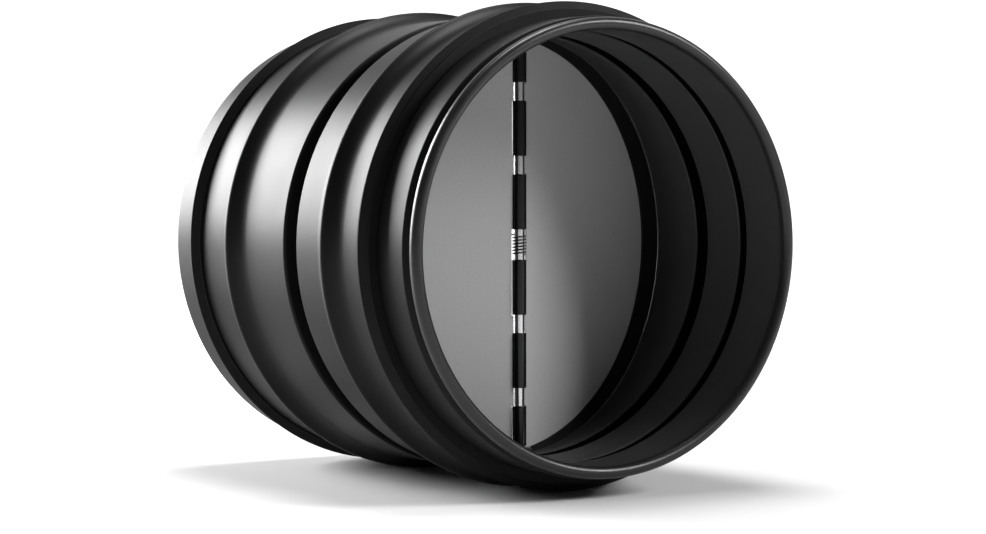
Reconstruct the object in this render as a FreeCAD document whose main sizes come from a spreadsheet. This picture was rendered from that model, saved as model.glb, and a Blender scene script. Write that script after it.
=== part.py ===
import FreeCAD, Part
import math
import os
import re
import Sketcher

# Butterfly backdraft damper for a 150 mm round duct.
# The duct axis is Y and air enters at the -Y end. The hinge pin stands along Z.
# Stations are millimetres along the duct, counted from the inlet face. Every finished
# piece is then moved back by half the overall length, so the origin is mid-length.

os.makedirs("parts", exist_ok=True)
doc = FreeCAD.newDocument("BackdraftDamper")

# Driving dimensions, in millimetres and degrees.
SIZES = {
    "airway_radius": 69.0,
    "sleeve_wall": 0.6,
    "casing_wall": 0.6,
    "skin_fit": 0.05,
    "body_rise": 5.25,
    "spigot_rise": 2.75,
    # Rubber trims on the two rims, and the flank behind each.
    "trim_rise": 2.2,
    "trim_lip": 0.5,
    "trim_depth": 4.2,
    "trim_slot": 1.8,
    "trim_tail": 0.8,
    "trim_taper": 1.4,
    "trim_fit": 0.05,
    "neck_gap": 0.2,
    "neck_flank": 1.6,
    # Flat stretches of the body between its flanks, seats, ridges and groove.
    "spigot_land": 11.15,
    "front_land": 8.65,
    "middle_land": 14.3,
    "rear_land": 26.2,
    "outlet_land": 9.25,
    "end_land": 11.45,
    # Rubber gaskets and the rolled seats that hold them.
    "inlet_gasket_front": 5.9,
    "outlet_gasket_front": 8.9,
    "gasket_back": 4.8,
    "gasket_rise": 3.0,
    "lip_rise": 1.75,
    "lip_offset": 4.6,
    "notch_offset": 3.8,
    "notch_rise": 0.8,
    "crest_land": 0.3,
    "crest_back": 1.5,
    "gasket_edge": 0.1,
    "seat_depth": 3.1,
    "seat_slope": 0.5,
    "seat_fit": 0.05,
    # Rolled stop ridges.
    "ridge_rise": 3.7,
    "ridge_half_width": 8.8,
    "ridge_crest_round": 1.8,
    # Rolled centre groove that grips the inner sleeve.
    "groove_width": 7.8,
    "groove_slope": 0.4,
    # Stiffening beads of the inner sleeve, as recesses in the airway.
    "front_bead": 21.8,
    "front_bead_width": 3.7,
    "front_bead_depth": 2.0,
    "bead_spacing": 17.9,
    "second_bead_width": 6.2,
    "second_bead_depth": 2.8,
    "bead_slope": 0.35,
    # Hinge.
    "hinge_inset": 5.0,
    "lean_angle": 15.5,
    "pin_radius": 1.75,
    "pin_end_gap": 2.0,
    "pin_chamfer": 0.4,
    "knuckle_radius": 2.45,
    "running_fit": 0.05,
    "knuckle_inner_end": 5.0,
    "knuckle_length": 18.2,
    "knuckle_gap": 6.0,
    "knuckle_end_gap": 1.0,
    "leaf_thickness": 0.6,
    "leaf_reach": 9.0,
    "blade_thickness": 0.8,
    "blade_pin_gap": 0.35,
    "blade_knuckle_gap": 0.35,
    "blade_edge_gap": 0.8,
    "seal_edge_gap": 0.35,
    "seal_width": 8.0,
    "seal_tip_width": 1.2,
    "seal_thickness": 0.8,
    "seal_hinge_gap": 0.6,
    # Bushes and clips that carry the pin in the inner sleeve.
    "bush_flange_radius": 4.4,
    "bush_flange_height": 1.2,
    "bush_shank_radius": 2.9,
    "bush_hole_fit": 0.1,
    "bush_collar_radius": 3.6,
    "bush_collar_height": 0.9,
    "clip_radius": 4.0,
    "clip_thickness": 0.5,
    "clip_gap": 0.1,
    "clip_fit": 0.02,
    "clip_slot": 0.7,
    "clip_slot_radius": 2.6,
    # Closing spring.
    "spring_wire": 0.5,
    "spring_mean_radius": 2.1,
    "spring_pitch": 1.05,
    "spring_turns": 6,
    "spring_leg": 14.0,
    "spring_leg_gap": 0.06,
}

# Sizes that follow from the driving ones.
PLACES = {
    "sleeve_outer": "airway_radius + sleeve_wall",
    "neck_radius": "sleeve_outer + skin_fit + casing_wall",
    "groove_floor": "neck_radius",
    "body_radius": "neck_radius + body_rise",
    "spigot_radius": "neck_radius + spigot_rise",
    "trim_radius": "neck_radius + trim_rise",
    "trim_inner": "airway_radius - trim_lip",
    "bead_radius": "(trim_radius - trim_inner) / 2",
    "bead_centre": "(trim_radius + trim_inner) / 2",
    "gasket_radius": "body_radius + gasket_rise",
    "lip_radius": "body_radius + lip_rise",
    "notch_radius": "body_radius + notch_rise",
    "seat_floor": "body_radius - seat_depth",
    "seat_edge": "seat_fit + seat_slope",
    "seat_back": "gasket_back + seat_edge",
    "inlet_neck": "trim_depth + neck_gap",
    "spigot_start": "inlet_neck + neck_flank",
    "inlet_crest": "spigot_start + spigot_land + seat_edge + inlet_gasket_front",
    "front_ridge": "inlet_crest + seat_back + front_land + ridge_half_width",
    "groove_start": "front_ridge + ridge_half_width + middle_land",
    "groove_end": "groove_start + groove_width",
    "rear_ridge": "groove_end + rear_land + ridge_half_width",
    "outlet_start": "rear_ridge + ridge_half_width + outlet_land",
    "outlet_crest": "outlet_start + seat_edge + outlet_gasket_front",
    "outlet_body_end": "outlet_crest + seat_back + end_land",
    "outlet_neck": "outlet_body_end + neck_flank",
    "overall_length": "outlet_neck + neck_gap + trim_depth",
    "middle": "overall_length / 2",
    "skin_start": "trim_slot + trim_fit",
    "skin_end": "overall_length - skin_start",
    "second_bead": "front_bead + front_bead_width + bead_spacing",
    "hinge_station": "second_bead + second_bead_width + hinge_inset",
    "ridge_radius": "body_radius + ridge_rise",
    "ridge_arcs": "(ridge_rise ^ 2 + ridge_half_width ^ 2) / (2 * ridge_rise)",
    "cove_centre": "body_radius + ridge_arcs - ridge_crest_round",
    "crest_centre": "ridge_radius - ridge_crest_round",
    "crest_half": "ridge_half_width * ridge_crest_round / ridge_arcs",
    "knuckle_bore": "pin_radius + running_fit",
    "blade_reach": "1.2 * airway_radius",
    "blade_radius": "airway_radius - blade_edge_gap",
    "seal_radius": "airway_radius - seal_edge_gap",
    "seal_waist": "seal_radius - seal_width",
    "seal_tip": "seal_radius - seal_tip_width",
    "seal_shift": "(seal_tip ^ 2 - seal_waist ^ 2) / (2 * seal_waist)",
    "seal_inner_radius": "seal_waist + seal_shift",
    "pin_edge": "pin_radius + blade_pin_gap",
    "notch_edge": "knuckle_radius + blade_knuckle_gap",
    "bush_seat": "sqrt(airway_radius ^ 2 - bush_flange_radius ^ 2) - skin_fit",
    "flange_face": "bush_seat - bush_flange_height",
    "middle_knuckle": "knuckle_inner_end + knuckle_length + knuckle_gap",
    "outer_knuckle": "middle_knuckle + knuckle_length + knuckle_gap",
    "outer_knuckle_length": "flange_face - knuckle_end_gap - outer_knuckle",
    "collar_seat": "sleeve_outer + bush_hole_fit",
    "collar_end": "collar_seat + bush_collar_height",
    "clip_seat": "collar_end + clip_gap",
    "pin_half_length": "body_radius - casing_wall - pin_end_gap",
}

NAME = re.compile(r"[a-z][a-z_]*")
known = dict(SIZES)


def amount(formula):
    """The number that a formula of sizes comes to."""
    numbers = NAME.sub(lambda word: str(known.get(word.group(), word.group())), formula)
    return float(FreeCAD.Units.Quantity(numbers).Value)


def linked(formula):
    """The same formula with each size written as a cell of its sheet."""
    def cell(word):
        name = word.group()
        if name in SIZES:
            return "Sizes." + name
        if name in PLACES:
            return "Places." + name
        return name
    return NAME.sub(cell, formula)


def fill_sheet(label, rows):
    sheet = doc.addObject("Spreadsheet::Sheet", label)
    for row, (name, content) in enumerate(rows, start=1):
        sheet.set(f"A{row}", name)
        sheet.set(f"B{row}", content)
        sheet.setAlias(f"B{row}", name)
    return sheet


fill_sheet("Sizes", [(name, str(value)) for name, value in SIZES.items()])
doc.recompute()
for place, formula in PLACES.items():
    known[place] = amount(formula)
places_text = {name: linked(formula).replace("Places.", "") for name, formula in PLACES.items()}
fill_sheet("Places", [(name, "=" + text) for name, text in places_text.items()])
doc.recompute()

LINE_START, LINE_END, CENTRE = 1, 2, 3
ORIGIN = -1
parts = []


class Outline:
    """A sketch drawn point by point, each coordinate tied to the sheets."""

    def __init__(self, name, body=None, plane="XY_Plane", closed=True):
        if body is None:
            self.sketch = doc.addObject("Sketcher::SketchObject", name)
        else:
            self.sketch = body.newObject("Sketcher::SketchObject", name)
            role = next(f for f in body.Origin.OriginFeatures if f.Role == plane)
            self.sketch.AttachmentSupport = (role, "")
            self.sketch.MapMode = "FlatFace"
        self.closed = closed
        self.first = None
        self.last = None
        self.corner = None

    def tie(self, geometry, place, across=None, along=None):
        """Fix a point's coordinates by formulas."""
        for kind, formula in (("DistanceX", across), ("DistanceY", along)):
            if formula is None:
                continue
            rule = Sketcher.Constraint(kind, ORIGIN, 1, geometry, place, amount(formula))
            number = self.sketch.addConstraint(rule)
            self.sketch.setExpression(f"Constraints[{number}]", linked(formula))

    def join(self, geometry, place):
        """Start a piece of the outline where the last one ended."""
        if self.last is None:
            self.first = (geometry, place)
            return
        self.sketch.addConstraint(Sketcher.Constraint("Coincident", *self.last, geometry, place))

    def start(self, across, along):
        self.corner = (across, along)

    def line(self, across, along):
        begin = FreeCAD.Vector(amount(self.corner[0]), amount(self.corner[1]), 0)
        end = FreeCAD.Vector(amount(across), amount(along), 0)
        geometry = self.sketch.addGeometry(Part.LineSegment(begin, end))
        self.join(geometry, LINE_START)
        if self.last is None:
            self.tie(geometry, LINE_START, *self.corner)
        self.tie(geometry, LINE_END, across, along)
        self.last = (geometry, LINE_END)
        self.corner = (across, along)

    def lines(self, *corners):
        for across, along in corners:
            self.line(across, along)

    def arc(self, begin, end, centre, clockwise, fix_across=True):
        """An arc between two places, given as numbers, about a centre given as formulas."""
        middle = FreeCAD.Vector(amount(centre[0]), amount(centre[1]), 0)
        radius = math.dist(begin, middle[:2])
        angles = [math.atan2(y - middle.y, x - middle.x) for x, y in (begin, end)]
        if clockwise:
            angles.reverse()
        if angles[1] < angles[0]:
            angles[1] += 2 * math.pi
        circle = Part.Circle(middle, FreeCAD.Vector(0, 0, 1), radius)
        geometry = self.sketch.addGeometry(Part.ArcOfCircle(circle, *angles))
        head, tail = (2, 1) if clockwise else (1, 2)
        self.join(geometry, head)
        if self.last is None:
            self.tie(geometry, head, *self.corner)
        self.tie(geometry, CENTRE, centre[0] if fix_across else None, centre[1])
        self.last = (geometry, tail)
        return geometry, tail

    def ridge(self, crest):
        """A rolled ridge: a cove, a rounded crest and a cove."""
        far = f"{crest} + ridge_half_width"
        near = f"{crest} - ridge_half_width"
        self.line("body_radius", near)
        share = known["ridge_crest_round"] / known["ridge_arcs"]
        top = known["crest_centre"] + (known["cove_centre"] - known["crest_centre"]) * share
        up = (top, amount(f"{crest} - crest_half"))
        down = (top, amount(f"{crest} + crest_half"))
        base = known["body_radius"]
        geometry, tail = self.arc((base, amount(near)), up, ("cove_centre", near), True)
        self.tie(geometry, tail, None, f"{crest} - crest_half")
        geometry, tail = self.arc(up, down, ("crest_centre", crest), False)
        self.tie(geometry, tail, None, f"{crest} + crest_half")
        geometry, tail = self.arc(down, (base, amount(far)), ("cove_centre", far), True, False)
        self.tie(geometry, tail, "body_radius", far)
        self.corner = ("body_radius", far)

    def finish(self):
        if self.closed:
            tail, head = (self.sketch.getPoint(*end) for end in (self.last, self.first))
            geometry = self.sketch.addGeometry(Part.LineSegment(tail, head))
            self.join(geometry, LINE_START)
            rule = Sketcher.Constraint("Coincident", geometry, LINE_END, *self.first)
            self.sketch.addConstraint(rule)
        doc.recompute()
        return self.sketch


def bind(thing, **formulas):
    for field, formula in formulas.items():
        thing.setExpression(field.replace("__", "."), linked(formula))
    return thing


def keep(thing, node, station="0", lean=None):
    """Label a finished piece and put it in its place along the duct."""
    thing.Label = node
    if lean:
        thing.Placement.Rotation = FreeCAD.Rotation(FreeCAD.Vector(0, 0, 1), 1)
        bind(thing, Placement__Rotation__Angle=lean)
    bind(thing, Placement__Base__y=f"{station} - middle")
    parts.append(thing)
    return thing


def primitive(kind, name, place=None, lean=None, **fields):
    """A box or cylinder whose sizes and place are formulas."""
    thing = doc.addObject("Part::" + kind, name)
    if lean:
        thing.Placement.Rotation = FreeCAD.Rotation(FreeCAD.Vector(0, 0, 1), 1)
        bind(thing, Placement__Rotation__Angle=lean)
    for axis, formula in zip("xyz", place or ()):
        if formula:
            bind(thing, **{f"Placement__Base__{axis}": formula})
    return bind(thing, **fields)


def cut(name, base, tool):
    thing = doc.addObject("Part::Cut", name)
    thing.Base = base
    thing.Tool = tool
    return thing


def common(name, base, tool):
    thing = doc.addObject("Part::Common", name)
    thing.Base = base
    thing.Tool = tool
    return thing


def fuse(name, *pieces):
    thing = doc.addObject("Part::MultiFuse", name)
    thing.Shapes = list(pieces)
    return thing


def turned_sheet(name, path, wall, inward=True):
    """A rolled sheet: the path of one face, given thickness and turned about the duct axis."""
    sheet = doc.addObject("Part::Offset2D", name + "_section")
    sheet.Source = path
    sheet.Mode = "Skin"
    sheet.Join = "Intersection"
    sheet.Fill = True
    sheet.Value = -1.0
    bind(sheet, Value=("-" if inward else "") + wall)
    skin = doc.addObject("Part::Revolution", name + "_skin")
    skin.Source = sheet
    skin.Axis = (0, 1, 0)
    skin.Angle = 360
    skin.Solid = True
    return skin


def turned_body(name, draw, axis="V_Axis", plane="XY_Plane"):
    """A solid ring turned from a closed section."""
    body = doc.addObject("PartDesign::Body", name + "_body")
    section = Outline(name + "_section", body, plane)
    draw(section)
    sketch = section.finish()
    turn = body.newObject("PartDesign::Revolution", name + "_turn")
    turn.Profile = sketch
    turn.ReferenceAxis = (sketch, [axis])
    turn.Angle = 360
    doc.recompute()
    return body


# Outer casing: one rolled sheet with a plain spigot at the inlet, two gasket seats,
# two stop ridges and the centre groove.
def gasket_seat(path, crest, reach, land):
    front = f"{crest} - {reach} - seat_fit"
    back = f"{crest} + gasket_back + seat_fit"
    path.lines((land, f"{front} - seat_slope"), ("seat_floor", front),
               ("seat_floor", back), ("body_radius", f"{back} + seat_slope"))


def outer_casing():
    path = Outline("casing_path", closed=False)
    path.start("neck_radius", "skin_start")
    path.lines(("neck_radius", "inlet_neck"), ("spigot_radius", "spigot_start"))
    gasket_seat(path, "inlet_crest", "inlet_gasket_front", "spigot_radius")
    path.ridge("front_ridge")
    path.lines(("body_radius", "groove_start"),
               ("groove_floor", "groove_start + groove_slope"),
               ("groove_floor", "groove_end - groove_slope"),
               ("body_radius", "groove_end"))
    path.ridge("rear_ridge")
    gasket_seat(path, "outlet_crest", "outlet_gasket_front", "body_radius")
    path.lines(("body_radius", "outlet_body_end"), ("neck_radius", "outlet_neck"),
               ("neck_radius", "skin_end"))
    keep(turned_sheet("casing", path.finish(), "casing_wall"), "outer_casing")


# Inner sleeve: the airway wall, with two stiffening beads and the two bush holes.
def airway_bead(path, start, width, depth):
    floor = f"airway_radius + {depth}"
    path.lines(("airway_radius", start), (floor, f"{start} + bead_slope"),
               (floor, f"{start} + {width} - bead_slope"), ("airway_radius", f"{start} + {width}"))


def inner_sleeve():
    path = Outline("sleeve_path", closed=False)
    path.start("airway_radius", "skin_start")
    airway_bead(path, "front_bead", "front_bead_width", "front_bead_depth")
    airway_bead(path, "second_bead", "second_bead_width", "second_bead_depth")
    path.line("airway_radius", "skin_end")
    skin = turned_sheet("sleeve", path.finish(), "sleeve_wall", inward=False)
    drill = primitive("Cylinder", "bush_drill", ("0", "hinge_station", "-body_radius"),
                      Radius="bush_shank_radius + bush_hole_fit", Height="2 * body_radius")
    keep(cut("drilled_sleeve", skin, drill), "inner_sleeve")


# Edge trims: a rounded bead with a slot that grips the edges of both skins.
def edge_trim(node, at, clockwise):
    def draw(section):
        slot_in = "airway_radius - trim_fit"
        slot_out = "neck_radius + trim_fit"
        bead = at("bead_radius")
        section.start("trim_radius", bead)
        begin = (known["trim_radius"], amount(bead))
        end = (known["trim_inner"], amount(bead))
        geometry, tail = section.arc(begin, end, ("bead_centre", bead), clockwise)
        section.tie(geometry, tail, None, bead)
        section.corner = ("trim_inner", bead)
        section.lines(("trim_inner", at("trim_depth - trim_taper")),
                      (slot_in, at("trim_depth - trim_taper / 2")), (slot_in, at("trim_slot")),
                      (slot_out, at("trim_slot")), (slot_out, at("trim_depth")),
                      (f"{slot_out} + trim_tail", at("trim_depth")),
                      ("trim_radius", at("trim_depth - trim_taper")))
    keep(turned_body(node, draw), node)


# Gaskets: a rubber band in its rolled seat, with a low lip and a high one.
def gasket(node, crest, reach):
    def draw(section):
        front = f"{crest} - {reach}"
        back = f"{crest} + gasket_back"
        skirt = "body_radius + gasket_edge"
        section.start("seat_floor", front)
        section.lines((skirt, front), ("lip_radius", f"{crest} - lip_offset"),
                      ("notch_radius", f"{crest} - notch_offset"), ("gasket_radius", crest),
                      ("gasket_radius", f"{crest} + crest_land"),
                      ("notch_radius", f"{crest} + crest_back"), (skirt, back),
                      ("seat_floor", back))
    keep(turned_body(node, draw), node)


# Hinge knuckles from the top down: each belongs to one blade, turn and turn about.
LEFT, RIGHT = "left", "right"
KNUCKLES = (
    ("outer_knuckle", "outer_knuckle_length", 1, LEFT),
    ("middle_knuckle", "knuckle_length", 1, RIGHT),
    ("knuckle_inner_end", "knuckle_length", 1, LEFT),
    ("knuckle_inner_end", "knuckle_length", -1, RIGHT),
    ("middle_knuckle", "knuckle_length", -1, LEFT),
    ("outer_knuckle", "outer_knuckle_length", -1, RIGHT),
)


def blade_lean(side):
    return "lean_angle" if side == RIGHT else "-lean_angle"


def hinge_sleeve(number, start, length, level, side):
    node = f"hinge_sleeve_{number}"
    low = start if level > 0 else f"-{start} - {length}"
    place = ("", "", low)
    barrel = primitive("Cylinder", node + "_barrel", place, Radius="knuckle_radius", Height=length)
    corner = ("" if side == RIGHT else "-leaf_reach", "", low)
    leaf = primitive("Box", node + "_leaf", corner, Length="leaf_reach",
                     Width="leaf_thickness", Height=length)
    bore = primitive("Cylinder", node + "_bore", place, Radius="knuckle_bore", Height=length)
    knuckle = cut(node + "_knuckle", fuse(node + "_blank", barrel, leaf), bore)
    keep(knuckle, node, "hinge_station", blade_lean(side))


# Blades: flat plates cut to the airway at the angle where they come to rest. The hinge
# edge runs close to the pin and steps back round the other blade's knuckles.
def blade_outline(side):
    """The right blade's outline; the left one is the same, turned half round."""
    top = "airway_radius"
    corner = "bush_flange_radius + blade_knuckle_gap"
    under = "flange_face - blade_knuckle_gap"
    outer_end = "outer_knuckle + outer_knuckle_length"
    middle_end = "middle_knuckle + knuckle_length"
    inner_end = "knuckle_inner_end + knuckle_length"
    gap = "blade_knuckle_gap"
    steps = (
        ("notch_edge", f"{outer_end} + {gap}", f"outer_knuckle - {gap}"),
        ("knuckle_radius", middle_end, "middle_knuckle"),
        ("notch_edge", f"{inner_end} + {gap}", "-knuckle_inner_end"),
        ("knuckle_radius", "-knuckle_inner_end", f"-({inner_end})"),
        ("notch_edge", f"-middle_knuckle + {gap}", f"-({middle_end}) - {gap}"),
        ("knuckle_radius", "-outer_knuckle", f"-({outer_end})"),
    )
    points = [("blade_reach", top), (corner, top), (corner, under), ("pin_edge", under)]
    for edge, high, low in steps:
        if points[-1][1] != high:
            points.append(("pin_edge", high))
        else:
            points.pop()
        points += [(edge, high), (edge, low), ("pin_edge", low)]
    points += [("pin_edge", f"-({under})"), (corner, f"-({under})"), (corner, f"-{top}")]
    points.append(("blade_reach", f"-{top}"))
    if side == RIGHT:
        return points
    return [(f"-({across})", f"-({up})") for across, up in points]


def in_airway(name, radius, shift=""):
    """A cylinder along the duct, over the whole length."""
    plug = primitive("Cylinder", name, (shift,), Radius=radius, Height="overall_length")
    plug.Placement.Rotation = FreeCAD.Rotation(FreeCAD.Vector(1, 0, 0), -90)
    return plug


def blade(side):
    node = f"{side}_blade"
    plate = doc.addObject("PartDesign::Body", node + "_plate")
    section = Outline(node + "_outline", plate, "XZ_Plane")
    points = blade_outline(side)
    section.start(*points[0])
    section.lines(*points[1:])
    sketch = section.finish()
    pad = plate.newObject("PartDesign::Pad", node + "_pad")
    pad.Profile = sketch
    bind(pad, Length="blade_thickness")
    plate.Placement.Rotation = FreeCAD.Rotation(FreeCAD.Vector(0, 0, 1), 1)
    bind(plate, Placement__Rotation__Angle=blade_lean(side), Placement__Base__y="hinge_station")
    doc.recompute()
    keep(common(node + "_trimmed", plate, in_airway(node + "_edge", "blade_radius")), node)


def blade_seal(side):
    """A flat rubber crescent on the upstream face: widest at the side, slim at the hinge."""
    node = f"{side}_blade_seal"
    inward = "(bush_flange_radius + seal_hinge_gap)"
    if side == LEFT:
        inward = f"(-{inward} - blade_reach)"
    face = "(-blade_thickness - seal_thickness)"
    turn = f"({blade_lean(side)}) * 1deg"
    across = f"{inward} * cos({turn}) - {face} * sin({turn})"
    along = f"hinge_station + {inward} * sin({turn}) + {face} * cos({turn})"
    strip = primitive("Box", node + "_strip", (across, along, "-airway_radius"), blade_lean(side),
                      Length="blade_reach", Width="seal_thickness", Height="2 * airway_radius")
    round_strip = common(node + "_round", strip, in_airway(node + "_edge", "seal_radius"))
    shift = "-seal_shift" if side == RIGHT else "seal_shift"
    inside = in_airway(node + "_inside", "seal_inner_radius", shift)
    keep(cut(node + "_crescent", round_strip, inside), node)


# Hinge pin, its bushes in the sleeve wall, and the push-on clips outside them.
def hinge_pin():
    def draw(section):
        rim = "pin_radius - pin_chamfer"
        section.start("0", "-pin_half_length")
        section.lines((rim, "-pin_half_length"), ("pin_radius", "-pin_half_length + pin_chamfer"),
                      ("pin_radius", "pin_half_length - pin_chamfer"), (rim, "pin_half_length"),
                      ("0", "pin_half_length"))
    keep(turned_body("pin", draw, plane="XZ_Plane"), "hinge_pin", "hinge_station")


def bush(node, sign):
    def draw(section):
        corners = (("knuckle_bore", "flange_face"), ("bush_flange_radius", "flange_face"),
                   ("bush_flange_radius", "bush_seat"), ("bush_shank_radius", "bush_seat"),
                   ("bush_shank_radius", "collar_seat"), ("bush_collar_radius", "collar_seat"),
                   ("bush_shank_radius", "collar_end"), ("knuckle_bore", "collar_end"))
        signed = [(across, sign + along) for across, along in corners]
        section.start(*signed[0])
        section.lines(*signed[1:])
    keep(turned_body(node, draw, plane="XZ_Plane"), node, "hinge_station")


def pin_clip(node, sign):
    low = "clip_seat" if sign == "" else "-clip_seat - clip_thickness"
    disc = primitive("Cylinder", node + "_disc", ("", "", low), Radius="clip_radius",
                     Height="clip_thickness")
    bore = primitive("Cylinder", node + "_bore", ("", "", low), Radius="pin_radius + clip_fit",
                     Height="clip_thickness")
    slots = []
    for across, along in (("clip_slot_radius", "clip_slot / 2"), ("clip_slot / 2", "clip_slot_radius")):
        corner = (f"-({across})", f"-({along})", low)
        slots.append(primitive("Box", f"{node}_slot", corner, Length=f"2 * ({across})",
                               Width=f"2 * ({along})", Height="clip_thickness"))
    keep(cut(node + "_ring", disc, fuse(node + "_punch", bore, *slots)), node, "hinge_station")


# Closing spring: a coil round the pin, with a leg behind each blade.
def torsion_spring():
    sheet = doc.getObject("Sizes")
    wire = sheet.spring_wire / 2
    mean = sheet.spring_mean_radius
    leg = sheet.spring_leg
    lift = wire + sheet.spring_leg_gap
    slant = math.asin(mean / math.hypot(lift, leg)) - math.atan(lift / leg)
    leg_angle = math.radians(sheet.lean_angle) - slant
    turns = sheet.spring_turns - leg_angle / math.pi
    height = turns * sheet.spring_pitch
    coil = Part.makeHelix(sheet.spring_pitch, height, mean)
    coil.rotate(FreeCAD.Vector(), FreeCAD.Vector(0, 0, 1), 90 + math.degrees(leg_angle))
    coil.translate(FreeCAD.Vector(0, 0, -height / 2))
    edge = coil.Edges[0]
    ends = [edge.valueAt(edge.FirstParameter), edge.valueAt(edge.LastParameter)]
    ways = [edge.tangentAt(edge.FirstParameter), edge.tangentAt(edge.LastParameter)]
    tips = [ends[0] - ways[0] * leg, ends[1] + ways[1] * leg]
    path = Part.Wire([Part.makeLine(tips[0], ends[0]), edge, Part.makeLine(ends[1], tips[1])])
    section = Part.Wire(Part.makeCircle(wire, tips[0], ways[0]))
    spring = doc.addObject("Part::Feature", "spring")
    spring.Shape = path.makePipeShell([section], True, True)
    keep(spring, "torsion_spring", "hinge_station")


def build():
    outer_casing()
    inner_sleeve()
    edge_trim("inlet_rim_trim", lambda depth: depth, True)
    edge_trim("outlet_rim_trim", lambda depth: f"overall_length - ({depth})", False)
    gasket("inlet_gasket", "inlet_crest", "inlet_gasket_front")
    gasket("outlet_gasket", "outlet_crest", "outlet_gasket_front")
    for side in (LEFT, RIGHT):
        blade(side)
        blade_seal(side)
    for number, knuckle in enumerate(KNUCKLES, start=1):
        hinge_sleeve(number, *knuckle)
    hinge_pin()
    for place, sign in (("upper", ""), ("lower", "-")):
        bush(f"{place}_bush", sign)
        pin_clip(f"{place}_pin_clip", sign)
    torsion_spring()
    doc.recompute()


def write():
    for thing in doc.Objects:
        if {"Invalid", "Error"} & set(thing.State):
            raise RuntimeError(f"{thing.Label} failed: {thing.State}")
    for piece in parts:
        if piece.Shape.isNull() or not piece.Shape.isValid():
            raise RuntimeError(f"{piece.Label} has no valid shape")
        piece.Shape.exportStep(f"parts/{piece.Label}.step")
        print(piece.Label, len(piece.Shape.Solids), round(piece.Shape.Volume, 1))


build()
write()
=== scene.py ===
import math

import bpy
from mathutils import Matrix, Vector


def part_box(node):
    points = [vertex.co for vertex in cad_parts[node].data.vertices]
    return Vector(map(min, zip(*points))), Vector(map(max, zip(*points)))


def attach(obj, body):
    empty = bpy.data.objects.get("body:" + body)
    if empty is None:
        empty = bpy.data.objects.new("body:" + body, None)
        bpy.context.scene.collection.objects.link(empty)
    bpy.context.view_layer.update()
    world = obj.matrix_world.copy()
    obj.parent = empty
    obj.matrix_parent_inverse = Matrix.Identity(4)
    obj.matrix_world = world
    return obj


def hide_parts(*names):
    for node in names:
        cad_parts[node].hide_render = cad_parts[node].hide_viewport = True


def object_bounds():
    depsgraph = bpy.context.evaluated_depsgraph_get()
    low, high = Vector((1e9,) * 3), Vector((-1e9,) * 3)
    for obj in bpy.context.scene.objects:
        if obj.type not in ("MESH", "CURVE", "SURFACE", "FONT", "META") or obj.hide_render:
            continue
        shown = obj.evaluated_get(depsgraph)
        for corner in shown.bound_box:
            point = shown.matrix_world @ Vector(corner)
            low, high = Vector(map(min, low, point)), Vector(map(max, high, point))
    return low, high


# Butterfly backdraft damper for a 150 mm round duct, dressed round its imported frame.
# The duct axis is Y, air enters at the -Y end and the hinge pin stands along Z.
# Sizes are millimetres and stations count from the inlet face, as in the part.
# The backdrop, the camera and the lamps are in metres.

MM = 0.001

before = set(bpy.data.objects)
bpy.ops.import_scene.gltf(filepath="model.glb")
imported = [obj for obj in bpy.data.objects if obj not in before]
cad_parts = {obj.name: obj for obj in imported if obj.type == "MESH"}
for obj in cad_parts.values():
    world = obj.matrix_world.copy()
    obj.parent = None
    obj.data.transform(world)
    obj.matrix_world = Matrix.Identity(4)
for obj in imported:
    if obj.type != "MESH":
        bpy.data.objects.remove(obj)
cad_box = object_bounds()


def high_mm(node):
    """The highest corner of a node's box, in millimetres."""
    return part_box(node)[1] / MM


def low_mm(node):
    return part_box(node)[0] / MM


MIDDLE = high_mm("outlet_rim_trim").y
LENGTH = 2 * MIDDLE

# Radii: the airway wall, the two skins and what stands on them.
AIRWAY = 69.0
SHEET = 0.6
FIT = 0.05
BODY_RISE, SPIGOT_RISE, SEAT_DEPTH = 5.25, 2.75, 3.1
SLEEVE = AIRWAY + SHEET
NECK = SLEEVE + FIT + SHEET
BODY = NECK + BODY_RISE
SPIGOT = NECK + SPIGOT_RISE
SEAT = BODY - SEAT_DEPTH
RIDGE = high_mm("outer_casing").x
GASKET = high_mm("inlet_gasket").x
TRIM = high_mm("inlet_rim_trim").x

# Bends of the sheet steel and edges of the rubber.
TIGHT = 0.7
EASY = 1.0
RUBBER_EDGE = 0.25

# Hinge, from the nodes: the pin's radius gives the place of its axis.
PIN = high_mm("hinge_pin").x
HINGE = high_mm("hinge_pin").y - PIN
KNUCKLE = 2.45
KNUCKLES = 6
LEAN = math.radians(15.5)

# How finely turned pieces and rounded corners are divided.
AROUND = 256
COARSEST_STEP = math.radians(18)
ARC_ERROR = 0.01


# Sections of turned pieces. A corner is a radius, a station and the bend that rounds it. An
# outline runs towards +Y along its outer side, so the material lies on its left.
def facing(way):
    way = way.normalized()
    return Vector((way.y, -way.x))


def rounded(corners, closed=True):
    """Points of an outline with rounded corners, each with the direction it faces."""
    points = []
    for number, (radius, station, bend) in enumerate(corners):
        here = Vector((radius, station))
        back = here - Vector(corners[number - 1][:2])
        ahead = Vector(corners[(number + 1) % len(corners)][:2]) - here
        if not closed and number == 0:
            points.append((here, facing(ahead)))
            continue
        if not closed and number == len(corners) - 1:
            points.append((here, facing(back)))
            continue
        back.normalize()
        ahead.normalize()
        turn = back.angle(ahead)
        side = 1 if back.x * ahead.y > back.y * ahead.x else -1
        centre = here + (ahead - back).normalized() * bend / math.cos(turn / 2)
        finest = 2 * math.acos(1 - min(1, ARC_ERROR / bend))
        steps = math.ceil(turn / min(finest, COARSEST_STEP))
        for step in range(steps + 1):
            direction = Matrix.Rotation(side * turn * step / steps, 2) @ facing(back)
            points.append((centre + direction * bend * side, direction))
    return points


def skin(path, wall):
    """A sheet's whole section, from the path of one face."""
    face = rounded(path, closed=False)
    return face + [(point - direction * wall, -direction) for point, direction in reversed(face)]


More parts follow.
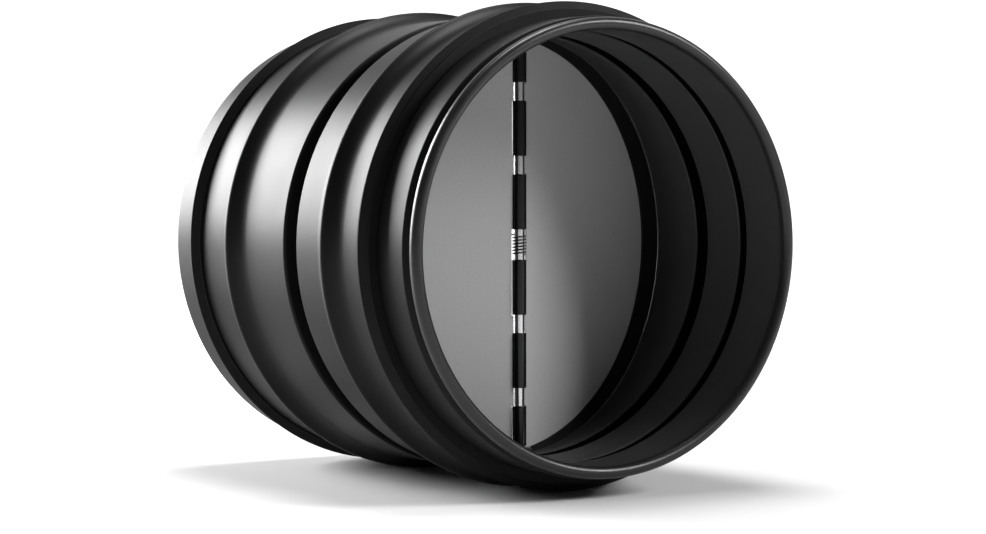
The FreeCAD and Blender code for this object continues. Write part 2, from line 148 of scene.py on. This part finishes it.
def mirrored(corners):
    """The same section at the other end of the duct."""
    return [(radius, LENGTH - station, bend) for radius, station, bend in reversed(corners)]


# Shapes: points in millimetres of the row frame, faces, and the direction at each point.
def mesh_piece(name, shape, body, material, node):
    """A piece that stands for a node of the frame."""
    points, faces, directions = shape
    mesh = bpy.data.meshes.new(name)
    mesh.from_pydata([Vector(point) * MM for point in points], [], faces)
    mesh.polygons.foreach_set("use_smooth", [True] * len(mesh.polygons))
    mesh.normals_split_custom_set_from_vertices(directions)
    mesh.materials.append(material)
    piece = bpy.data.objects.new(name, mesh)
    bpy.context.scene.collection.objects.link(piece)
    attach(piece, body)
    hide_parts(node)


def turned(section, around=AROUND, upright=None):
    """A section turned about the duct axis, or about an upright axis at that Y."""
    points = []
    directions = []
    for number in range(around):
        angle = 2 * math.pi * number / around
        across, up = math.cos(angle), math.sin(angle)
        for point, direction in section:
            points.append((point.x * across, point.y - MIDDLE, point.x * up))
            directions.append((direction.x * across, direction.y, direction.x * up))
    if upright is not None:
        points = [(x, upright - z, y + MIDDLE) for x, y, z in points]
        directions = [(x, -z, y) for x, y, z in directions]
    count = len(section)
    faces = []
    for number in range(around):
        near, far = number * count, (number + 1) % around * count
        for place in range(count):
            after = (place + 1) % count
            faces.append((near + place, near + after, far + after, far + place))
    return points, faces, directions


def plate(outline, near, far, edge):
    """A plate on the right blade's plane, from its outline there and its two levels across it.

    The outline's corners are a distance from the hinge, a height and a bend.
    """
    along = Vector((math.cos(LEAN), math.sin(LEAN), 0))
    down = Vector((-math.sin(LEAN), math.cos(LEAN), 0))
    hinge = Vector((0, HINGE, 0))
    rim = rounded(outline)
    rings = ((near, edge, -down), (near + edge, 0, None), (far - edge, 0, None), (far, edge, down))
    points = []
    directions = []
    for level, inset, cap in rings:
        for point, direction in rim:
            place = point - direction * inset
            points.append(hinge + along * place.x + down * level + Vector((0, 0, place.y)))
            directions.append(cap or along * direction.x + Vector((0, 0, direction.y)))
    count = len(rim)
    corners = list(range(len(points)))
    faces = [corners[:count], corners[:-count - 1:-1]]
    for ring in range(len(rings) - 1):
        for place in range(count):
            here, after = ring * count + place, ring * count + (place + 1) % count
            faces.append((here, here + count, after + count, after))
    return points, faces, directions


def half_turned(shape):
    """The same shape turned half round about the duct axis."""
    points, faces, directions = shape
    return [(-x, y, -z) for x, y, z in points], faces, [(-x, y, -z) for x, y, z in directions]


def joined(first, second):
    start = len(first[0])
    faces = [[start + corner for corner in face] for face in second[1]]
    return [*first[0], *second[0]], [*first[1], *faces], [*first[2], *second[2]]


# Materials, one for each slot of the record.
NOISE_LOW, NOISE_HIGH = 0.3, 0.7


def grey(level, blue=None):
    """A grey, with its own level for blue where it is a little cool."""
    return level, level, level if blue is None else blue


def surface(name, colour, roughness, metallic=0.0, specular=0.5):
    """A material, its shader and the place that its textures read."""
    made = bpy.data.materials.new(name)
    made["slot"] = name
    made.use_nodes = True
    shader = made.node_tree.nodes["Principled BSDF"]
    shader.inputs["Base Color"].default_value = (*colour, 1)
    shader.inputs["Roughness"].default_value = roughness
    shader.inputs["Metallic"].default_value = metallic
    shader.inputs["Specular IOR Level"].default_value = specular
    place = made.node_tree.nodes.new("ShaderNodeTexCoord").outputs["Object"]
    return made, shader, place


def noise(made, place, size, detail=3.0):
    """Noise whose features are about that many millimetres across."""
    texture = made.node_tree.nodes.new("ShaderNodeTexNoise")
    texture.inputs["Scale"].default_value = 1 / (size * MM)
    texture.inputs["Detail"].default_value = detail
    made.node_tree.links.new(place, texture.inputs["Vector"])
    return texture.outputs["Fac"]


def ramp(made, value, start, end, low=0.0, high=1.0):
    """A value that runs from low to high while another runs from start to end."""
    node = made.node_tree.nodes.new("ShaderNodeMapRange")
    node.inputs["From Min"].default_value = start
    node.inputs["From Max"].default_value = end
    node.inputs["To Min"].default_value = low
    node.inputs["To Max"].default_value = high
    made.node_tree.links.new(value, node.inputs["Value"])
    return node.outputs["Result"]


def sheen(made, factor, low, high, shader):
    """Let the roughness vary between two values with a noise."""
    made.node_tree.links.new(ramp(made, factor, NOISE_LOW, NOISE_HIGH, low, high),
                             shader.inputs["Roughness"])


def colour_mix(made, factor, last):
    """A node that mixes a first colour, still to be set, with a last one."""
    mix = made.node_tree.nodes.new("ShaderNodeMix")
    mix.data_type = "RGBA"
    mix.inputs["B"].default_value = (*last, 1)
    made.node_tree.links.new(factor, mix.inputs["Factor"])
    return mix


def tint(made, factor, dark, light, shader):
    mix = colour_mix(made, factor, light)
    mix.inputs["A"].default_value = (*dark, 1)
    made.node_tree.links.new(mix.outputs["Result"], shader.inputs["Base Color"])


def relief(made, height, depth, shader):
    bump = made.node_tree.nodes.new("ShaderNodeBump")
    bump.inputs["Distance"].default_value = depth * MM
    made.node_tree.links.new(height, bump.inputs["Height"])
    made.node_tree.links.new(bump.outputs["Normal"], shader.inputs["Normal"])


def length_of(made, vector):
    node = made.node_tree.nodes.new("ShaderNodeVectorMath")
    node.operation = "LENGTH"
    made.node_tree.links.new(vector, node.inputs[0])
    return node.outputs["Value"]


def combined(made, operation, first, second):
    node = made.node_tree.nodes.new("ShaderNodeMath")
    node.operation = operation
    made.node_tree.links.new(first, node.inputs[0])
    made.node_tree.links.new(second, node.inputs[1])
    return node.outputs[0]


def paint(name, dark, light, roughness, peel=0.004, specular=0.25):
    """Satin enamel on steel: a faint orange peel, and a sheen that varies a little."""
    made, shader, place = surface(name, dark, roughness, specular=specular)
    relief(made, noise(made, place, size=1.1), peel, shader)
    sheen(made, noise(made, place, size=35), roughness - 0.02, roughness + 0.03, shader)
    tint(made, noise(made, place, size=12), dark, light, shader)
    return made


def rubber(name, dark, light, roughness, grain=0.006, specular=0.12):
    """Moulded rubber or plastic: a fine matt grain."""
    made, shader, place = surface(name, dark, roughness, specular=specular)
    relief(made, noise(made, place, size=0.5, detail=6), grain, shader)
    sheen(made, noise(made, place, size=8), roughness - 0.05, roughness + 0.05, shader)
    tint(made, noise(made, place, size=5), dark, light, shader)
    return made


def metal(name, dark, light, roughness, grain, size, metallic=1.0):
    """Bare metal: one noise of that size gives both its grain and its tone."""
    made, shader, place = surface(name, dark, roughness, metallic)
    fine = noise(made, place, size, detail=5)
    relief(made, fine, grain, shader)
    tint(made, fine, dark, light, shader)
    sheen(made, noise(made, place, size=25), roughness - 0.03, roughness + 0.03, shader)
    return made


casing_paint = paint("casing_paint", grey(0.006, 0.0063), grey(0.009, 0.0093), 0.4, specular=0.1)
airway_paint = paint("airway_paint", grey(0.04, 0.0405), grey(0.05, 0.0505), 0.32)
rim_rubber = rubber("rim_rubber", grey(0.010), grey(0.014), 0.34, grain=0.003, specular=0.35)
gasket_rubber = rubber("gasket_rubber", grey(0.006), grey(0.009), 0.55)
seal_rubber = rubber("seal_rubber", grey(0.006), grey(0.009), 0.6)
knuckle_enamel = paint("knuckle_enamel", grey(0.006), grey(0.008), 0.2, peel=0.001)
blade_metal = metal("blade_metal", grey(0.36, 0.365), grey(0.46, 0.465), 0.5,
                    grain=0.012, size=0.5, metallic=0.2)
pin_steel = metal("pin_steel", grey(0.5, 0.51), grey(0.6, 0.61), 0.2, grain=0.002, size=0.4)
spring_steel = metal("spring_steel", grey(0.045), grey(0.06), 0.35, grain=0.002, size=0.3)
clip_steel = metal("clip_steel", grey(0.42), grey(0.5), 0.35, grain=0.003, size=0.5)
bush_plastic = rubber("bush_plastic", grey(0.02), grey(0.028), 0.5)

# The radii between which the floor of a bead takes on painted shade.
RECESS_START, RECESS_FULL = AIRWAY + 0.1, AIRWAY + 0.5
RECESS_SHADE_COLOUR = grey(0.002)


def shade_recesses(made):
    """The floors of the airway's beads, which light hardly reaches, get painted shade: a
    near-black colour and no specular.
    """
    nodes, links = made.node_tree.nodes, made.node_tree.links
    shader = nodes["Principled BSDF"]
    colour, specular = shader.inputs["Base Color"], shader.inputs["Specular IOR Level"]
    flat = nodes.new("ShaderNodeVectorMath")
    flat.operation = "MULTIPLY"
    flat.inputs[1].default_value = (1, 0, 1)
    links.new(nodes.new("ShaderNodeTexCoord").outputs["Object"], flat.inputs[0])
    radius = length_of(made, flat.outputs["Vector"])
    # Painted shade: towards the bead floors the specular fades to nothing and the colour turns
    # near black.
    start, end = RECESS_START * MM, RECESS_FULL * MM
    links.new(ramp(made, radius, start, end, low=specular.default_value, high=0.0), specular)
    painted_shade = colour_mix(made, ramp(made, radius, start, end), RECESS_SHADE_COLOUR)
    links.new(colour.links[0].from_socket, painted_shade.inputs["A"])
    links.new(painted_shade.outputs["Result"], colour)


# The airway's bead floors get painted shade.
shade_recesses(airway_paint)

# Outer casing: where its forms lie along the duct
SKIN_START = 1.85
INLET_NECK, SPIGOT_START = 4.4, 6.0
OUTLET_BODY, OUTLET_NECK = 156.6, 158.2
FRONT_RIDGE, REAR_RIDGE = 46.4, 112.3
RIDGE_HALF, RIDGE_ROUND = 8.8, 1.8
GROOVE, GROOVE_END, GROOVE_SLOPE = 69.5, 77.3, 0.4
SEAT_SLOPE = 0.5

# A gasket's crest stands before its back, and its lip before its crest.
GASKET_BACK, LIP_BEFORE = 4.8, 2.2


def crest_of(node):
    return high_mm(node).y + MIDDLE - GASKET_BACK


def ridge(crest):
    """Three corners that make a cove, a rounded crest and a cove."""
    rise = RIDGE - BODY
    arcs = (rise ** 2 + RIDGE_HALF ** 2) / (2 * rise)
    slope = math.asin(RIDGE_HALF / arcs)
    cove = arcs - RIDGE_ROUND
    foot = RIDGE_HALF - cove * math.tan(slope / 2)
    peak = RIDGE - RIDGE_ROUND + RIDGE_ROUND / math.cos(slope)
    return [(BODY, crest - foot, cove), (peak, crest, RIDGE_ROUND), (BODY, crest + foot, cove)]


def gasket_seat(node, land):
    """The casing's recess under a gasket, from the land in front of it to the body behind."""
    front = crest_of(node) - LIP_BEFORE - FIT
    back = high_mm(node).y + MIDDLE + FIT
    return [(land, front - SEAT_SLOPE, TIGHT), (SEAT, front, TIGHT / 2),
            (SEAT, back, TIGHT / 2), (BODY, back + SEAT_SLOPE, TIGHT)]


casing_path = [
    (NECK, SKIN_START, TIGHT),
    (NECK, INLET_NECK, TIGHT), (SPIGOT, SPIGOT_START, TIGHT),
    *gasket_seat("inlet_gasket", SPIGOT),
    *ridge(FRONT_RIDGE),
    (BODY, GROOVE, EASY), (NECK, GROOVE + GROOVE_SLOPE, TIGHT),
    (NECK, GROOVE_END - GROOVE_SLOPE, TIGHT), (BODY, GROOVE_END, EASY),
    *ridge(REAR_RIDGE),
    *gasket_seat("outlet_gasket", BODY),
    (BODY, OUTLET_BODY, TIGHT), (NECK, OUTLET_NECK, TIGHT),
    (NECK, LENGTH - SKIN_START, TIGHT),
]
casing_shape = turned(skin(casing_path, SHEET))
mesh_piece("casing_shell", casing_shape, "casing", casing_paint, "outer_casing")

# Inner sleeve: its airway face, from the outlet to the inlet. A bead is a start, width and depth.
BEADS = ((43.4, 6.2, 2.8), (21.8, 3.7, 2.0))
BEAD_SLOPE = 0.35

sleeve_path = [(AIRWAY, LENGTH - SKIN_START, TIGHT)]
for start, width, depth in BEADS:
    end, floor = start + width, AIRWAY + depth
    sleeve_path += [(AIRWAY, end, TIGHT), (floor, end - BEAD_SLOPE, TIGHT),
                    (floor, start + BEAD_SLOPE, TIGHT), (AIRWAY, start, TIGHT)]
sleeve_path.append((AIRWAY, SKIN_START, TIGHT))
sleeve_shape = turned(skin(sleeve_path, SHEET))
mesh_piece("airway_wall", sleeve_shape, "casing", airway_paint, "inner_sleeve")

# Rims: a round bead over the end of both skins, with a slot that holds them
TRIM_DEPTH = high_mm("inlet_rim_trim").y + MIDDLE
TRIM_LIP, TRIM_SLOT, TRIM_TAPER, TRIM_TAIL = 0.5, 1.8, 1.4, 0.8
TRIM_INNER = AIRWAY - TRIM_LIP

slot_in, slot_out = AIRWAY - FIT, NECK + FIT
bead = (TRIM - TRIM_INNER) / 2 - FIT
rim_corners = [
    (TRIM, 0, bead), (TRIM, TRIM_DEPTH - TRIM_TAPER, RUBBER_EDGE),
    (slot_out + TRIM_TAIL, TRIM_DEPTH, RUBBER_EDGE), (slot_out, TRIM_DEPTH, RUBBER_EDGE / 2),
    (slot_out, TRIM_SLOT, RUBBER_EDGE / 2), (slot_in, TRIM_SLOT, RUBBER_EDGE / 2),
    (slot_in, TRIM_DEPTH - TRIM_TAPER / 2, RUBBER_EDGE / 4),
    (TRIM_INNER, TRIM_DEPTH - TRIM_TAPER, RUBBER_EDGE), (TRIM_INNER, 0, bead),
]
for end, corners in (("inlet", rim_corners), ("outlet", mirrored(rim_corners))):
    mesh_piece(f"{end}_rim", turned(rounded(corners)), "casing", rim_rubber, f"{end}_rim_trim")

# Gaskets: bands with a lip, a notch, a crest and a skirt
LIP_RISE, LIP_LAND = 0.6, 0.5
NOTCH_DEPTH, NOTCH_WIDTH = 0.5, 0.4
CREST_LAND, CREST_BACK = 0.3, 1.5
SKIRT_RISE = 0.1


def gasket_corners(node):
    """A low lip that stands square on the land, a notch and the tall crest."""
    crest, back = crest_of(node), high_mm(node).y + MIDDLE
    front, lip = crest - LIP_BEFORE, BODY + LIP_RISE
    notch, fine = lip - NOTCH_DEPTH, RUBBER_EDGE / 5
    return [(SEAT, front, fine), (lip, front, RUBBER_EDGE / 2),
            (lip, front + LIP_LAND, RUBBER_EDGE / 2),
            (notch, front + LIP_LAND + NOTCH_WIDTH, RUBBER_EDGE), (GASKET, crest, fine * 2),
            (GASKET, crest + CREST_LAND, fine * 2), (notch, crest + CREST_BACK, RUBBER_EDGE),
            (BODY + SKIRT_RISE, back, fine), (SEAT, back, fine)]


for end in ("inlet", "outlet"):
    node = f"{end}_gasket"
    mesh_piece(f"{end}_band", turned(rounded(gasket_corners(node))), "casing", gasket_rubber, node)

# Blades, their seals and the hinge
BLADE_SHEET, BLADE_GAP = 0.8, 0.8
SEAL_SHEET, SEAL_GAP = 0.8, 0.06
SEAL_WIDTH, SEAL_TIP, SEAL_START = 8.0, 1.2, 5.0
LEAF_SHEET, LEAF_REACH = 0.6, 9.0
CLEARANCE = 0.35
BUSH = high_mm("upper_bush").x
BUSH_FACE = low_mm("upper_bush").z
PLATE_EDGE = 0.12
CORNER = 0.15
BARREL_EDGE, BORE_EDGE, ROD_EDGE = 0.3, 0.1, 0.4
ARC_CORNERS = 60
KNUCKLE_AROUND = 64

# Hinge sleeves are counted from the top, and the spring lies between the middle two.
ABOVE_SPRING, BELOW_SPRING = 3, 4


def span(number):
    """The lowest and highest point of a hinge sleeve."""
    node = f"hinge_sleeve_{number}"
    return low_mm(node).z, high_mm(node).z


def airway_arc(radius, start, near, shift=0.0):
    """Corners up an arc of the airway, as they fall on the blade's plane at its near level."""
    first = math.acos((start * math.cos(LEAN) - near * math.sin(LEAN) - shift) / radius)
    corners = []
    for step in range(ARC_CORNERS + 1):
        angle = first * (2 * step / ARC_CORNERS - 1)
        across = shift + radius * math.cos(angle)
        reach = (across + near * math.sin(LEAN)) / math.cos(LEAN)
        inner = 0 < step < ARC_CORNERS
        corners.append((reach, radius * math.sin(angle), radius / 2 if inner else CORNER))
    return corners


def blade_corners():
    """The right blade: up round the airway, then down past the bushes, pin and knuckles."""
    corner, under, pin_edge = BUSH + CLEARANCE, BUSH_FACE - CLEARANCE, PIN + CLEARANCE
    inner = [(corner, under), (pin_edge, under)]
    for number in range(1, KNUCKLES + 1):
        low, high = span(number)
        own = number % 2 == 0
        gap = 0 if own else CLEARANCE
        step = KNUCKLE + gap
        # One notch takes the sleeve above the spring and the spring itself.
        if number != BELOW_SPRING:
            inner.append((pin_edge, high + gap))
        inner.append((step, high + gap))
        if number == ABOVE_SPRING:
            inner.append((step, span(BELOW_SPRING)[1]))
        else:
            inner += [(step, low - gap), (pin_edge, low - gap)]
    inner += [(pin_edge, -under), (corner, -under)]
    outer = airway_arc(AIRWAY - BLADE_GAP, corner, -BLADE_SHEET)
    return outer + [(*place, CORNER) for place in inner]


def seal_corners(near):
    """A crescent: widest at the side of the airway and slim where it meets the hinge."""
    radius = AIRWAY - SEAL_GAP
    waist, tip = radius - SEAL_WIDTH, radius - SEAL_TIP
    shift = (tip ** 2 - waist ** 2) / (2 * waist)
    outer = airway_arc(radius, SEAL_START, near)
    inner = airway_arc(waist + shift, SEAL_START, near, -shift)
    return outer + inner[::-1]


def knuckle(low, high):
    """A knuckle and the leaf that it was rolled from, which lies behind the blade."""
    bore, start = PIN + FIT, KNUCKLE - SHEET
    barrel = [(KNUCKLE, low, BARREL_EDGE), (KNUCKLE, high, BARREL_EDGE),
              (bore, high, BORE_EDGE), (bore, low, BORE_EDGE)]
    leaf = [(LEAF_REACH, low, CORNER), (LEAF_REACH, high, CORNER),
            (start, high, CORNER), (start, low, CORNER)]
    turned_barrel = turned(rounded(barrel), KNUCKLE_AROUND, HINGE)
    return joined(turned_barrel, plate(leaf, 0, LEAF_SHEET, PLATE_EDGE))


def on_side(side, shape):
    """A shape drawn on the right blade, or the same one on the left blade."""
    return shape if side == "right" else half_turned(shape)


blade_shape = plate(blade_corners(), -BLADE_SHEET, 0, PLATE_EDGE)
seal_near = -BLADE_SHEET - SEAL_SHEET
seal_shape = plate(seal_corners(seal_near), seal_near, -BLADE_SHEET, PLATE_EDGE)
for side in ("right", "left"):
    body = f"{side}_blade"
    mesh_piece(f"{side}_leaf", on_side(side, blade_shape), body, blade_metal, body)
    mesh_piece(f"{side}_strip", on_side(side, seal_shape), body, seal_rubber, f"{body}_seal")
    for drawn in range(2, KNUCKLES + 1, 2):
        shape = on_side(side, knuckle(*span(drawn)))
        number = drawn if side == "right" else KNUCKLES + 1 - drawn
        mesh_piece(f"knuckle_{number}", shape, body, knuckle_enamel, f"hinge_sleeve_{number}")

# The pin, closed on its axis by a core too fine to see.
PIN_END = high_mm("hinge_pin").z
CORE = 0.05
rod_section = [(PIN, -PIN_END, ROD_EDGE), (PIN, PIN_END, ROD_EDGE),
               (CORE, PIN_END, CORE / 2), (CORE, -PIN_END, CORE / 2)]
rod_shape = turned(rounded(rod_section), KNUCKLE_AROUND, HINGE)
mesh_piece("hinge_rod", rod_shape, "casing", pin_steel, "hinge_pin")

# Frame nodes whose shape is kept, with better materials
KEPT = {
    "torsion_spring": spring_steel,
    "upper_bush": bush_plastic, "lower_bush": bush_plastic,
    "upper_pin_clip": clip_steel, "lower_pin_clip": clip_steel,
}
for node, material in KEPT.items():
    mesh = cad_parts[node].data
    mesh.materials.clear()
    mesh.materials.append(material)

# Camera at the photograph's angle: a long lens, turned from the duct axis and tipped down
TURNED = math.radians(32.21)
TILT = math.radians(2.09)
CAMERA_PLACE = Vector((-0.4768, -0.7674, 0.0247))
LENS, SENSOR = 97.4, 36
NEAREST_SEEN = 0.05

camera = bpy.data.objects.new("camera", bpy.data.cameras.new("camera"))
bpy.context.scene.collection.objects.link(camera)
camera.data.lens = LENS
camera.data.sensor_width = SENSOR
camera.data.clip_start = NEAREST_SEEN
camera.location = CAMERA_PLACE
camera.rotation_euler = (math.pi / 2 - TILT, 0, -TURNED)
bpy.context.scene.camera = camera

# Floor and backdrop: one sheet of white paper. Away from the damper it glows for the rays
# that see it or mirror it, so the backdrop is white without any more light on the damper.
FLOOR = cad_box[0].z
SWEEP_HALF, SWEEP_FRONT, SWEEP_BACK, SWEEP_TOP = 3.0, 3.0, 1.6, 2.2
SWEEP_BEND, SWEEP_STEPS = 0.8, 16
GLOW_START, GLOW_FULL = 0.3, 0.9


def paper_material():
    made, shader, place = surface("paper", grey(0.78), 0.9, specular=0.0)
    tint(made, noise(made, place, size=60), grey(0.77), grey(0.79), shader)
    glow = ramp(made, length_of(made, place), GLOW_START, GLOW_FULL)
    path = made.node_tree.nodes.new("ShaderNodeLightPath")
    seen = path.outputs["Is Camera Ray"]
    for ray in ("Is Glossy Ray", "Is Transmission Ray"):
        seen = combined(made, "MAXIMUM", seen, path.outputs[ray])
    shader.inputs["Emission Color"].default_value = (1, 1, 1, 1)
    strength = combined(made, "MULTIPLY", seen, glow)
    made.node_tree.links.new(strength, shader.inputs["Emission Strength"])
    return made


def sweep():
    """A paper sweep: the floor, a bend and the wall behind, square to the camera."""
    line = [(-SWEEP_FRONT, 0.0)]
    for step in range(SWEEP_STEPS + 1):
        angle = math.pi / 2 * step / SWEEP_STEPS
        line.append((SWEEP_BACK + SWEEP_BEND * math.sin(angle),
                     SWEEP_BEND * (1 - math.cos(angle))))
    line.append((SWEEP_BACK + SWEEP_BEND, SWEEP_TOP))
    turn = Matrix.Rotation(-TURNED, 4, "Z")
    points = []
    for along, up in line:
        for across in (-SWEEP_HALF, SWEEP_HALF):
            points.append(turn @ Vector((across, along, FLOOR + up)))
    faces = [(2 * n, 2 * n + 1, 2 * n + 3, 2 * n + 2) for n in range(len(line) - 1)]
    mesh = bpy.data.meshes.new("paper_sweep")
    mesh.from_pydata(points, [], faces)
    mesh.polygons.foreach_set("use_smooth", [True] * len(faces))
    mesh.materials.append(paper_material())
    floor = bpy.data.objects.new("paper_sweep", mesh)
    bpy.context.scene.collection.objects.link(floor)


sweep()


# Lamps: each a soft panel that faces the damper
def panel(name, way, distance, width, height, radiance):
    """A panel in a direction from the damper; its radiance is what a mirror would show."""
    lamp = bpy.data.lights.new(name, "AREA")
    lamp.shape = "RECTANGLE"
    lamp.size = width
    lamp.size_y = height
    lamp.energy = radiance * math.pi * width * height
    holder = bpy.data.objects.new(name, lamp)
    way = Vector(way).normalized()
    holder.location = way * distance
    holder.rotation_euler = way.to_track_quat("Z", "Y").to_euler()
    bpy.context.scene.collection.objects.link(holder)


panel("side_panel", (-0.42, 0.885, 0.3), distance=1.12, width=0.46, height=0.58, radiance=34.0)
panel("top_panel", (0.1, 0.1, 1.0), distance=1.2, width=0.5, height=0.5, radiance=16.0)
panel("front_panel", (0.55, -0.63, 0.45), distance=1.3, width=0.45, height=0.45, radiance=24.0)

WORLD_LIGHT = 0.08
world = bpy.data.worlds.new("world")
bpy.context.scene.world = world
world.use_nodes = True
world.node_tree.nodes["Background"].inputs["Color"].default_value = (1, 1, 1, 1)
world.node_tree.nodes["Background"].inputs["Strength"].default_value = WORLD_LIGHT

bpy.context.scene.view_settings.view_transform = "Standard"
